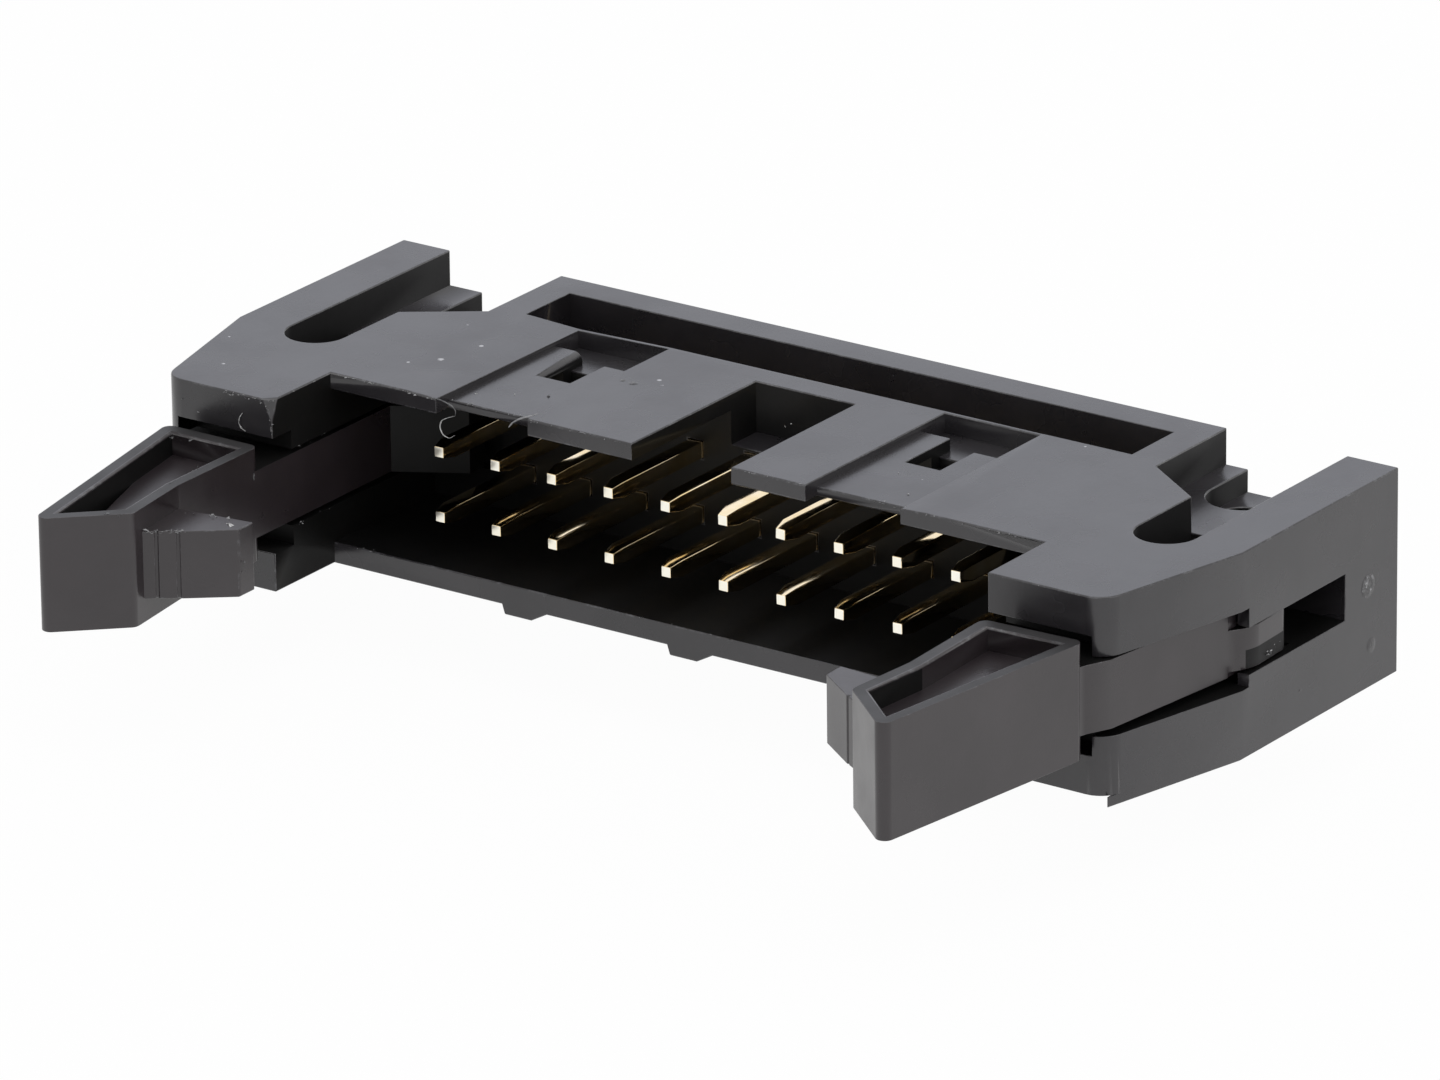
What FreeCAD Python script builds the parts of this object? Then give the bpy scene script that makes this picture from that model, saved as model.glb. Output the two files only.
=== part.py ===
import FreeCAD, Part
import os
import Sketcher

# Right-angle box header with two ejector latches. X runs along the pin rows, -Y is the way
# the plug comes in from, and the board is the plane z = 0. The origin is the middle of the
# tail grid on the board.

doc = FreeCAD.newDocument("box_header")

# Driving dimensions in millimetres; columns and stud_count are counts, latch_lean is in degrees
sizes = {
    # pins
    "columns": 10,
    "pitch": 2.54,
    "row_gap": 2.54,
    "pin_side": 0.64,
    "pin_tip_side": 0.46,
    "pin_tip_taper": 0.45,
    "pin_setback": 0.75,
    "pin_play": 0.01,
    "bend_inside": 0.3,
    "tail_drop": 3.0,
    # housing, seen from the front
    "foot_height": 0.38,
    "body_height": 7.48,
    "floor_wall": 0.82,
    "roof_wall": 0.66,
    "cavity_margin": 4.32,
    "ear_width": 6.43,
    "tower_width": 4.9,
    "tower_round": 1.0,
    "key_width": 4.4,
    "key_rise": 1.75,
    # housing, from front to back
    "tower_reach": 3.6,
    "flank_run": 6.55,
    "cavity_depth": 6.25,
    "web_reach": 3.63,
    "rear_reach": 3.32,
    "key_into_web": 1.6,
    # well behind the web, where the tails turn down
    "well_margin": 2.02,
    "well_front": 0.83,
    "well_back": 1.92,
    "low_web": 1.7,
    "low_well_drop": 0.2,
    # shallow panels in the roof
    "panel_left": 10.95,
    "panel_right": 5.45,
    "panel_width": 4.12,
    "panel_depth": 0.3,
    "panel_step_depth": 0.79,
    "panel_setback": 0.75,
    "panel_wall": 0.17,
    "panel_rib": 1.2,
    "panel_step_start": 0.51,
    "panel_end_run": 1.38,
    "vent_width": 1.5,
    "vent_run": 2.18,
    "vent_offset": 1.2,
    "vent_depth": 1.2,
    # ears
    "frame_inset": 0.9,
    "ledge_drop": 1.39,
    "ledge_front": 3.23,
    "ledge_slope": 1.9,
    "notch_drop": 2.26,
    "hole_radius": 1.2,
    "hole_land": 0.17,
    "hole_inset": 1.4,
    "hole_back": 0.87,
    # pocket that the latch turns in
    "pivot_inset": 3.05,
    "pivot_ahead": 3.0,
    "latch_play": 0.2,
    "boss_play": 0.08,
    "foot_play": 0.3,
    "foot_room": 0.65,
    "outer_wall": 0.5,
    "cheek_back": 0.13,
    "window_height": 1.79,
    "window_drop": 0.14,
    "window_run": 6.31,
    "window_inner": 3.45,
    "rebate_height": 4.5,
    "rebate_width": 4.35,
    "rebate_depth": 1.15,
    # latch, from its pivot towards the front
    "arm_height": 2.6,
    "arm_play": 0.05,
    "barrel_radius": 2.75,
    "boss_radius": 1.12,
    "boss_height": 5.4,
    "arm_shoulder": 0.42,
    "arm_outer_front": 1.7,
    "arm_taper_run": 0.9,
    "head_height": 4.4,
    "head_start": 7.6,
    "head_outer": 1.22,
    "hook_start": 12.45,
    "hook_reach": 3.12,
    "hook_rake": 0.38,
    "hook_nose": 0.88,
    "hook_ramp_width": 1.6,
    "hook_ramp_run": 1.75,
    "tip_inner_run": 15.6,
    "tip_flare": 0.4,
    "tip_outer_run": 18.1,
    "tip_outer_inset": 0.7,
    "head_rim": 0.55,
    "head_hollow": 1.5,
    "head_round": 0.35,
    # lug that shows in the window of the outer wall
    "cam_play": 0.1,
    "cam_reach": 3.3,
    "cam_front": 0.3,
    "cam_back": 2.95,
    # how the +X latch rests: swung out a little, and up against the top of its slot
    "latch_lean": 2.4,
    "latch_lift": 0.15,
    # ejector foot of the latch
    "toe_reach": 2.55,
    "toe_front": 1.85,
    "toe_back": 2.8,
    "heel_front": 0.4,
    "heel_back": 3.2,
    # standoffs under the housing
    "strip_width": 1.53,
    "strip_start": 0.2,
    "stud_count": 3,
    "stud_first": -8.13,
    "stud_spacing": 7.4,
    "stud_width": 2.0,
    "stud_draft": 0.12,
    "stud_slope": 0.7,
    "stud_run": 2.4,
}
sheet = doc.addObject("Spreadsheet::Sheet", "Size")
for row, (alias, value) in enumerate(sizes.items(), start=1):
    sheet.set(f"A{row}", alias)
    sheet.set(f"B{row}", str(value))
    sheet.setAlias(f"B{row}", alias)
doc.recompute()

# Places worked out from the sizes: half widths in x, depths in y, levels in z
places = {
    "mid_z": "Size.foot_height + Size.body_height / 2",
    "top_z": "Size.foot_height + Size.body_height",
    "cavity_low": "Size.foot_height + Size.floor_wall",
    "cavity_high": "Size.foot_height + Size.body_height - Size.roof_wall",
    "web_y": "-Size.web_reach",
    "mouth_y": "-Size.web_reach - Size.cavity_depth",
    "tower_y": "-Size.web_reach - Size.cavity_depth - Size.tower_reach",
    "flank_y": "-Size.web_reach - Size.cavity_depth - Size.tower_reach + Size.flank_run",
    "well_low_y": "-Size.web_reach + Size.low_web",
    "cavity_half": "(Size.columns - 1) * Size.pitch / 2 + Size.cavity_margin",
    "tower_half": "At.cavity_half + Size.tower_width",
    "ear_half": "At.cavity_half + Size.ear_width",
    "frame_half": "At.cavity_half - Size.frame_inset",
    "well_half": "(Size.columns - 1) * Size.pitch / 2 + Size.well_margin",
    "pivot_x": "At.cavity_half + Size.pivot_inset",
    "pivot_y": "-Size.web_reach - Size.pivot_ahead",
    "slot_radius": "Size.boss_radius + Size.boss_play",
    "slot_height": "Size.arm_height + 2 * Size.latch_play",
    "slot_low": "At.mid_z - At.slot_height / 2",
    "pocket_back_y": "At.pivot_y + Size.heel_back + Size.foot_play",
    "cheek_y": "At.pivot_y + Size.cheek_back",
    "arm_x": "Size.pivot_inset - Size.arm_play",
    "toe_room_x": "At.cavity_half - Size.toe_reach - Size.foot_room",
    "window_z": "At.mid_z - Size.window_drop",
    "hole_x": "At.cavity_half + Size.hole_inset",
    "notch_radius": "Size.hole_radius + Size.hole_land",
}
at = doc.addObject("App::VarSet", "At")
for name in places:
    at.addProperty("App::PropertyFloat", name, "Places")
for name, formula in places.items():
    at.setExpression(name, formula)
doc.recompute()

# How far a cut runs out of the solid, and into the next cut
overshoot = 1.0
overlap = 0.05


def place(item, x, y, z):
    item.setExpression("Placement.Base.x", x)
    item.setExpression("Placement.Base.y", y)
    item.setExpression("Placement.Base.z", z)
    return item


def box(name, low, high):
    # a block between two corners, each a triple of formulas
    item = doc.addObject("Part::Box", name)
    for side, a, b in zip(("Length", "Width", "Height"), low, high):
        item.setExpression(side, f"({b}) - ({a})")
    return place(item, *low)


def cylinder(name, centre, radius, height):
    item = doc.addObject("Part::Cylinder", name)
    item.setExpression("Radius", radius)
    item.setExpression("Height", height)
    return place(item, *centre)


def outline(name, corners):
    # a closed sketch whose corners are held by two formulas each
    sketch = doc.addObject("Sketcher::SketchObject", name)
    points = []
    for x, y in corners:
        points.append(FreeCAD.Vector(float(at.evalExpression(x)), float(at.evalExpression(y)), 0))
    count = len(points)
    for i in range(count):
        sketch.addGeometry(Part.LineSegment(points[i], points[(i + 1) % count]), False)
    for i in range(count):
        sketch.addConstraint(Sketcher.Constraint("Coincident", i, 2, (i + 1) % count, 1))
    for i, (x, y) in enumerate(corners):
        across = sketch.addConstraint(Sketcher.Constraint("DistanceX", -1, 1, i, 1, points[i].x))
        along = sketch.addConstraint(Sketcher.Constraint("DistanceY", -1, 1, i, 1, points[i].y))
        sketch.setExpression(f"Constraints[{across}]", x)
        sketch.setExpression(f"Constraints[{along}]", y)
    return sketch


def wedge(name, size, far_x, far_z, turn):
    # a block that narrows along its own y, turned about the x axis
    item = doc.addObject("Part::Wedge", name)
    formulas = {
        "Xmin": "0", "Xmax": size[0], "Ymin": "0", "Ymax": size[1], "Zmin": "0", "Zmax": size[2],
        "X2min": far_x[0], "X2max": far_x[1], "Z2min": far_z[0], "Z2max": far_z[1],
    }
    for prop, formula in formulas.items():
        item.setExpression(prop, formula)
    item.Placement.Rotation = FreeCAD.Rotation(FreeCAD.Vector(1, 0, 0), turn)
    return item


def prism(name, corners, low, high):
    # an outline in plan, carried from one level to another
    item = doc.addObject("Part::Extrusion", name)
    item.Base = outline(name + "_outline", corners)
    item.DirMode = "Custom"
    item.Dir = FreeCAD.Vector(0, 0, 1)
    item.Solid = True
    item.setExpression("LengthFwd", f"({high}) - ({low})")
    return place(item, "0", "0", low)


def fuse(name, items):
    item = doc.addObject("Part::MultiFuse", name)
    item.Shapes = items
    item.Refine = True
    return item


def cut(name, base, tool):
    item = doc.addObject("Part::Cut", name)
    item.Base = base
    item.Tool = tool
    item.Refine = True
    return item


def mirrored(name, source):
    item = doc.addObject("Part::Mirroring", name)
    item.Source = source
    item.Normal = FreeCAD.Vector(1, 0, 0)
    return item


def rounded(name, base, picks, radius):
    # picks tells which edges of the finished base are rounded
    doc.recompute()
    item = doc.addObject("Part::Fillet", name)
    item.Base = base
    size = sheet.get(radius)
    item.Edges = [(i, size, size) for i, edge in enumerate(base.Shape.Edges, start=1) if picks(edge)]
    return item


def upright(edge):
    first, last = edge.Vertexes[0].Point, edge.Vertexes[-1].Point
    return abs(first.x - last.x) < 1e-6 and abs(first.y - last.y) < 1e-6


def column_x(column):
    return f"({column} - (Size.columns - 1) / 2) * Size.pitch"


# Housing: the block with its two towers
def housing_block():
    half = [
        ("At.cavity_half", "At.mouth_y"),
        ("At.cavity_half", "At.tower_y"),
        ("At.tower_half", "At.tower_y"),
        ("At.ear_half", "At.flank_y"),
        ("At.ear_half", "Size.rear_reach"),
    ]
    corners = half + [(f"-({x})", y) for x, y in reversed(half)]
    block = prism("block", corners, "Size.foot_height", "At.top_z")

    def outer_front(edge):
        point = edge.Vertexes[0].Point
        return upright(edge) and abs(abs(point.x) - at.tower_half) < 0.01
    return rounded("block_rounded", block, outer_front, "tower_round")


# Standoffs: a strip along each outer edge and a row of studs under the front of the floor
def standoffs():
    inner = "At.ear_half - Size.strip_width"
    slope = "Size.flank_run / (At.ear_half - At.tower_half)"
    corners = [
        (inner, "At.tower_y + Size.strip_start"),
        (f"At.tower_half + Size.strip_start / ({slope})", "At.tower_y + Size.strip_start"),
        ("At.ear_half", "At.flank_y"),
        ("At.ear_half", "Size.rear_reach"),
        (inner, "Size.rear_reach"),
    ]
    strip = prism("strip_right", corners, "0", "Size.foot_height")
    items = [strip, mirrored("strip_left", strip)]
    for number in range(int(sheet.get("stud_count"))):
        stud = wedge(f"stud_{number}", ("Size.stud_width", "Size.foot_height", "Size.stud_run"),
                     ("Size.stud_draft", "Size.stud_width - Size.stud_slope"),
                     ("0", "Size.stud_run - Size.stud_draft"), -90)
        left = f"Size.stud_first + {number} * Size.stud_spacing"
        items.append(place(stud, left, "At.mouth_y", "Size.foot_height"))
    return items


# Hollows along the middle: the cavity, the key slot and the well behind the web
def middle_cuts():
    items = [
        box("cavity", ("-At.cavity_half", f"At.mouth_y - {overshoot}", "At.cavity_low"),
            ("At.cavity_half", "At.web_y", "At.cavity_high")),
        box("key_slot", ("-Size.key_width / 2", f"At.mouth_y - {overshoot}", "At.mid_z + Size.key_rise"),
            ("Size.key_width / 2", "At.web_y + Size.key_into_web", f"At.top_z + {overshoot}")),
        box("well", ("-At.well_half", "-Size.well_front", "0"),
            ("At.well_half", "Size.well_back", f"At.top_z + {overshoot}")),
        box("low_well", ("-At.well_half", "At.well_low_y", "0"),
            ("At.well_half", "0", "At.mid_z - Size.low_well_drop")),
    ]
    reach = "(Size.pin_side / 2 + Size.pin_play)"
    for column in range(int(sheet.get("columns"))):
        for row, side in (("upper", "+"), ("lower", "-")):
            level = f"At.mid_z {side} Size.row_gap / 2"
            x = column_x(column)
            items.append(box(f"{row}_seat_{column + 1:02d}",
                             (f"{x} - {reach}", f"At.web_y - {overshoot}", f"{level} - {reach}"),
                             (f"{x} + {reach}", "0", f"{level} + {reach}")))
    return items


# A shallow panel in the roof, with a deeper step at its back, a rib beside its left wall and a
# vent into the cavity. A thin wall is left between it and the well
def roof_panel(side, left):
    right = f"{left} + Size.panel_width"
    rib = f"{left} + Size.panel_rib"
    back = "-Size.well_front - Size.panel_wall"
    above = f"At.top_z + {overshoot}"
    floor = "At.top_z - Size.panel_depth"
    step = "At.top_z - Size.panel_step_depth"
    through = f"At.cavity_high - {overlap}"
    vent_x = f"{left} + Size.vent_offset"
    vent_y = "At.web_y + Size.panel_step_start"
    return [
        box(f"panel_{side}", (left, "At.mouth_y", floor), (right, back, above)),
        box(f"panel_lip_{side}", (left, f"At.mouth_y - {overshoot}", through),
            (right, "At.mouth_y + Size.panel_setback", above)),
        box(f"panel_step_{side}", (rib, "At.web_y + Size.panel_step_start", step), (right, back, above)),
        box(f"panel_end_{side}", (left, f"{back} - Size.panel_end_run", step), (rib, back, above)),
        box(f"vent_{side}", (vent_x, f"{vent_y} - Size.vent_run", "At.top_z - Size.vent_depth"),
            (f"{vent_x} + Size.vent_width", vent_y, above)),
    ]


# Ear on the +X side: the latch pocket, its slots, and the ledge with the screw hole
def ear_cuts():
    inner = "At.pivot_x - At.slot_radius"
    outer = "At.pivot_x + At.slot_radius"
    above = f"At.top_z + {overshoot}"
    front = f"At.tower_y - {overshoot}"
    slot_high = "At.slot_low + At.slot_height"
    window_low = "At.window_z - Size.window_height / 2"
    rebate_low = "At.mid_z - Size.rebate_height / 2"
    notch_z = "At.top_z - Size.notch_drop"
    ledge_front = "-Size.ledge_front"
    ledge = [
        (inner, ledge_front),
        (outer, ledge_front),
        (outer, f"Size.rear_reach + {overshoot}"),
        ("At.frame_half", f"Size.rear_reach + {overshoot}"),
        ("At.frame_half", "-Size.ledge_front + Size.ledge_slope"),
    ]
    return [
        box("pocket", ("At.toe_room_x", front, "At.slot_low"),
            ("At.ear_half - Size.outer_wall", "At.pocket_back_y", slot_high)),
        box("pocket_mouth", ("At.cavity_half", front, "At.slot_low"),
            (f"At.ear_half + {overshoot}", "At.cheek_y", slot_high)),
        box("rebate", (f"At.cavity_half - {overlap}", front, rebate_low),
            ("At.cavity_half + Size.rebate_width", "At.tower_y + Size.rebate_depth",
             f"{rebate_low} + Size.rebate_height")),
        box("window", ("At.cavity_half + Size.window_inner", f"At.cheek_y - {overlap}", window_low),
            (f"At.ear_half + {overshoot}", "At.cheek_y + Size.window_run",
             f"{window_low} + Size.window_height")),
        box("boss_slot", (inner, "At.pivot_y", "0"), (outer, ledge_front, above)),
        cylinder("boss_slot_end", ("At.pivot_x", "At.pivot_y", "0"), "At.slot_radius", above),
        prism("ledge", ledge, "At.top_z - Size.ledge_drop", above),
        box("notch", ("At.hole_x - At.notch_radius", "Size.hole_back", notch_z),
            ("At.hole_x + At.notch_radius", f"Size.rear_reach + {overshoot}", above)),
        cylinder("notch_end", ("At.hole_x", "Size.hole_back", notch_z), "At.notch_radius",
                 f"Size.notch_drop + {overshoot}"),
        cylinder("screw_hole", ("At.hole_x", "Size.hole_back", "0"), "Size.hole_radius", above),
    ]


def housing():
    solid = fuse("housing_solid", [housing_block()] + standoffs())
    ear = fuse("ear_cuts_right", ear_cuts())
    panels = roof_panel("left", "-Size.panel_left") + roof_panel("right", "Size.panel_right")
    ears = [ear, mirrored("ear_cuts_left", ear)]
    tools = fuse("housing_hollows", middle_cuts() + panels + ears)
    return cut("housing", solid, tools)


# A latch, drawn about its pivot with its front towards -Y. Sign is + on the +X side
def latch(side, sign):
    inner = "-At.arm_x"
    base = f"{inner} - Size.tip_flare"
    nose = f"{inner} - Size.hook_reach"
    nose_back = "-Size.hook_start + Size.hook_rake"

    def handed(corners):
        return [(f"{sign}({x})", y) for x, y in corners]

    head_outline = handed([
        (inner, "-Size.head_start"),
        (inner, "-Size.hook_start"),
        (base, "-Size.tip_inner_run"),
        ("-Size.tip_outer_inset", "-Size.tip_outer_run"),
        ("Size.head_outer", "-Size.head_start"),
    ])
    arm_outline = handed([
        ("Size.barrel_radius", "-Size.arm_shoulder"),
        ("0", "Size.barrel_radius"),
        (inner, "Size.heel_back"),
        (f"{inner} - Size.toe_reach", "Size.toe_back"),
        (f"{inner} - Size.toe_reach", "Size.toe_front"),
        (inner, "Size.heel_front"),
        (inner, "-Size.hook_start"),
        (nose, nose_back),
        (nose, f"{nose_back} - Size.hook_nose"),
        (f"{nose} + Size.hook_ramp_width", "-Size.hook_start - Size.hook_ramp_run"),
        (f"{base} + Size.head_rim", "-Size.tip_inner_run + Size.head_rim / 2"),
        ("-Size.tip_outer_inset - Size.head_rim", "-Size.tip_inner_run + Size.head_rim / 2"),
        ("Size.head_outer", "-Size.head_start"),
        ("Size.arm_outer_front", "-Size.head_start + Size.arm_taper_run"),
    ])
    cam_outline = handed([
        ("0", "0"),
        ("Size.barrel_radius", "-Size.arm_shoulder"),
        ("Size.cam_reach", "Size.cam_front"),
        ("Size.cam_reach", "Size.cam_back"),
        ("0", "Size.cam_back"),
    ])
    head = prism(f"head_{side}", head_outline, "-Size.head_height / 2", "Size.head_height / 2")
    head_rounded = rounded(f"head_rounded_{side}", head, upright, "head_round")
    rim = doc.addObject("Part::Offset2D", f"head_rim_{side}")
    rim.Source = outline(f"head_rim_outline_{side}", head_outline)
    rim.setExpression("Value", "-Size.head_rim")
    rim.Join = "Intersection"
    hollows = []
    for face, low in (("top", "Size.head_height / 2 - Size.head_hollow"),
                      ("under", f"-Size.head_height / 2 - {overshoot}")):
        hollow = doc.addObject("Part::Extrusion", f"head_hollow_{face}_{side}")
        hollow.Base = rim
        hollow.DirMode = "Custom"
        hollow.Dir = FreeCAD.Vector(0, 0, 1)
        hollow.Solid = True
        hollow.setExpression("LengthFwd", f"Size.head_hollow + {overshoot}")
        hollows.append(place(hollow, "0", "0", low))
    shell = cut(f"head_shell_{side}", head_rounded, fuse(f"head_hollows_{side}", hollows))
    arm = prism(f"arm_{side}", arm_outline, "-Size.arm_height / 2", "Size.arm_height / 2")
    barrel = cylinder(f"barrel_{side}", ("0", "0", "-Size.arm_height / 2"),
                      "Size.barrel_radius", "Size.arm_height")
    boss = cylinder(f"boss_{side}", ("0", "0", "-Size.boss_height / 2"),
                    "Size.boss_radius", "Size.boss_height")
    cam_low = "Size.cam_play - Size.window_drop - Size.window_height / 2"
    cam_high = "Size.window_height / 2 - Size.window_drop - Size.cam_play"
    if side == "right":
        cam_low, cam_high = f"{cam_low} - Size.latch_lift", f"{cam_high} - Size.latch_lift"
    cam = prism(f"cam_{side}", cam_outline, cam_low, cam_high)
    solid = fuse(f"latch_{side}", [shell, arm, barrel, boss, cam])
    return place(solid, f"{sign}(At.pivot_x)", "At.pivot_y", "At.mid_z")


# A square pin: level from its tip to the bend, then straight down through the board
def pin(name, x, level, tail_y):
    half = "Size.pin_side / 2"
    outside = "Size.bend_inside + Size.pin_side"
    point_y = "At.mouth_y + Size.pin_setback + Size.pin_tip_taper"
    bend_y = f"{tail_y} + {half} - ({outside})"
    bend_z = f"{level} + {half} - ({outside})"
    run = box(f"{name}_run", (f"{x} - {half}", point_y, f"{level} - {half}"),
              (f"{x} + {half}", bend_y, f"{level} + {half}"))
    tail_low = "-Size.tail_drop + Size.pin_tip_taper"
    tail = box(f"{name}_tail", (f"{x} - {half}", f"{tail_y} - {half}", tail_low),
               (f"{x} + {half}", f"{tail_y} + {half}", bend_z))
    ring = []
    for part_name, radius in (("outside", outside), ("inside", "Size.bend_inside")):
        disc = doc.addObject("Part::Cylinder", f"{name}_{part_name}")
        disc.setExpression("Radius", radius)
        disc.setExpression("Height", "Size.pin_side")
        disc.Angle = 90
        disc.Placement.Rotation = FreeCAD.Rotation(FreeCAD.Vector(0, 1, 0), -90)
        ring.append(place(disc, f"{x} + {half}", bend_y, bend_z))
    bend = cut(f"{name}_bend", *ring)
    narrow = ("(Size.pin_side - Size.pin_tip_side) / 2", "(Size.pin_side + Size.pin_tip_side) / 2")
    size = ("Size.pin_side", "Size.pin_tip_taper", "Size.pin_side")
    point = wedge(f"{name}_point", size, narrow, narrow, 180)
    place(point, f"{x} - {half}", point_y, f"{level} + {half}")
    tail_point = wedge(f"{name}_tail_point", size, narrow, narrow, 270)
    place(tail_point, f"{x} - {half}", f"{tail_y} - {half}", tail_low)
    return fuse(name, [run, bend, tail, point, tail_point])


right = latch("right", "+")
right.setExpression("Placement.Rotation.Angle", "Size.latch_lean")
right.setExpression("Placement.Base.z", "At.mid_z + Size.latch_lift")
parts = [housing(), latch("left", "-"), right]
for column in range(int(sheet.get("columns"))):
    number = f"{column + 1:02d}"
    x = column_x(column)
    parts.append(pin(f"pin_upper_{number}", x, "At.mid_z + Size.row_gap / 2", "Size.row_gap / 2"))
    parts.append(pin(f"pin_lower_{number}", x, "At.mid_z - Size.row_gap / 2", "-Size.row_gap / 2"))
doc.recompute()

for item in doc.Objects:
    if "Invalid" in item.State or "Error" in item.State:
        raise RuntimeError(f"{item.Label} could not be made: {item.State}")
for item in parts:
    if item.Shape.isNull() or not item.Shape.isValid() or len(item.Shape.Solids) != 1:
        raise RuntimeError(f"{item.Label} is not one valid solid")

os.makedirs("parts", exist_ok=True)
for item in parts:
    item.Shape.exportStep(f"parts/{item.Label}.step")
    print(f"{item.Label}: {item.Shape.Volume:.3f} mm3, {item.Shape.BoundBox}")
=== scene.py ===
import math

import bmesh
import bpy
import numpy as np
from mathutils import Matrix, Vector


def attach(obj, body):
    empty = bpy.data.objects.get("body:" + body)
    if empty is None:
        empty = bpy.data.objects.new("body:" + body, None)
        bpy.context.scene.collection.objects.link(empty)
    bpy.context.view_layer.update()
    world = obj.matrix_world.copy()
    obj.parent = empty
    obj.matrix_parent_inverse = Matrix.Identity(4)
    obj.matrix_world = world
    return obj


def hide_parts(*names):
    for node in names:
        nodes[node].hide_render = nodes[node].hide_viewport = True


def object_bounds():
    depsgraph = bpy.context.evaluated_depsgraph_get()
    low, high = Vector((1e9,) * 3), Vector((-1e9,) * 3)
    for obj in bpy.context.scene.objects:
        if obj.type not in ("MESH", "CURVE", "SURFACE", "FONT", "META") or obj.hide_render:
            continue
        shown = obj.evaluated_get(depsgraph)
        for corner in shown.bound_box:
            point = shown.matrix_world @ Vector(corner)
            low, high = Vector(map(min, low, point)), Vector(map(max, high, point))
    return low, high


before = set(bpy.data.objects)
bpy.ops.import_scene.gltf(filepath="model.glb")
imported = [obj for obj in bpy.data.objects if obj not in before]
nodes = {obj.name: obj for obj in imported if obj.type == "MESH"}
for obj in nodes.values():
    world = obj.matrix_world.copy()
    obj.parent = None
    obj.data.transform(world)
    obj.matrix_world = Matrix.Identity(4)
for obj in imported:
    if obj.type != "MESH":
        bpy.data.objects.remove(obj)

mm = 0.001
cadBox = [list(corner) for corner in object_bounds()]
weldWithin, cutWithin, flatWithin = 2e-6, 1e-7, 0.4  # metres, metres and degrees

# the level of the housing's tops, and where its roof and its towers end in front, in millimetres
top, roof, tower = 7.86, -9.88, -13.48
anywhere = (-99, 99)

# places in a piece's list of materials: the outside, the roundings' pale wear with a painted highlight, and
# the dark painted shade of recesses; the housing and the latches have more of their own
outside, worn, dark = 0, 1, 2


def newMesh(name, points, faces, materials, smooth=True):
    # points in millimetres
    mesh = bpy.data.meshes.new(name)
    mesh.from_pydata((np.asarray(points, float) * mm).tolist(), [], [list(map(int, f)) for f in faces])
    mesh.update()
    mesh.shade_smooth() if smooth else mesh.shade_flat()
    for material in materials:
        mesh.materials.append(material)
    piece = bpy.data.objects.new(name, mesh)
    bpy.context.scene.collection.objects.link(piece)
    return piece


def tubeFaces(rows, columns):
    # quads between neighbouring rings of points, each ring closed, and a face over either end
    r, c = np.meshgrid(np.arange(rows - 1), np.arange(columns), indexing="ij")
    after = (c + 1) % columns
    near, far = r * columns, (r + 1) * columns
    quads = np.stack([near + c, near + after, far + after, far + c], -1).reshape(-1, 4).tolist()
    return quads + [list(range(columns))[::-1], [(rows - 1) * columns + c for c in range(columns)]]


def wave(seed, count, knots, low=0.0, high=1.0):
    # smooth random line: knots random heights, joined by cosine steps
    heights = np.random.default_rng(seed).uniform(low, high, knots + 1)
    place = np.linspace(0, knots - 1e-6, count)
    step = place.astype(int)
    part = (1 - np.cos((place - step) * math.pi)) / 2
    return heights[step] * (1 - part) + heights[step + 1] * part


def within(x, y, z, ranges):
    # true inside a box given by its lowest and highest x, y and z
    inside = True
    for value, (low, high) in zip((x, y, z), ranges):
        inside = inside & (value > low) & (value < high)
    return inside


def outwards(piece, weld=True):
    # merges doubles and turns every face of a closed piece outwards
    work = bmesh.new()
    work.from_mesh(piece.data)
    if weld:
        bmesh.ops.remove_doubles(work, verts=work.verts, dist=cutWithin)
    bmesh.ops.recalc_face_normals(work, faces=work.faces)
    work.to_mesh(piece.data)
    work.free()


def settle(piece, body, replaced=()):
    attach(piece, body)
    if replaced:
        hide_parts(*replaced)


# camera on the photograph's view; distances in millimetres, angles in degrees
view = {
    "azimuth": 35.4226,
    "elevation": 20.9299,
    "roll": -0.7025,
    "offset": (0.937, 0.2295, -454.07),  # camera from the aim point: right, up, along the view
    "aim": (0.0, -9.13, 4.12),
    "lens": 314.12,
    "sensor": 36.0,
    "clip": (0.01, 20.0),  # metres
}


def placeRig(name, data, axes):
    # puts a camera or lamp in the scene by its right, up and back directions and its place
    rig = bpy.data.objects.new(name, data)
    bpy.context.scene.collection.objects.link(rig)
    turn = np.eye(4)
    turn[:3] = np.stack(axes, -1)
    rig.matrix_world = Matrix(turn.tolist())
    return rig


def makeCamera():
    a, e, r = (math.radians(view[k]) for k in ("azimuth", "elevation", "roll"))
    look = np.array([-math.sin(a) * math.cos(e), math.cos(a) * math.cos(e), -math.sin(e)])
    level = np.array([math.cos(a), math.sin(a), 0.0])
    above = np.cross(level, look)
    right = math.cos(r) * level + math.sin(r) * above
    up = -math.sin(r) * level + math.cos(r) * above
    x, y, z = view["offset"]
    place = (np.array(view["aim"]) + x * right + y * up + z * look) * mm
    camera = bpy.data.cameras.new("camera")
    camera.lens = view["lens"]
    camera.sensor_width = view["sensor"]
    camera.clip_start, camera.clip_end = view["clip"]
    bpy.context.scene.camera = placeRig("camera", camera, (right, up, -look, place))


makeCamera()
print("camera ready")


def nodeMaterial(name):
    material = bpy.data.materials.new(name)
    material.use_nodes = True
    tree = material.node_tree
    shader = tree.nodes["Principled BSDF"]
    place = tree.nodes.new("ShaderNodeTexCoord").outputs["Object"]
    return material, tree, shader, place


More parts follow.
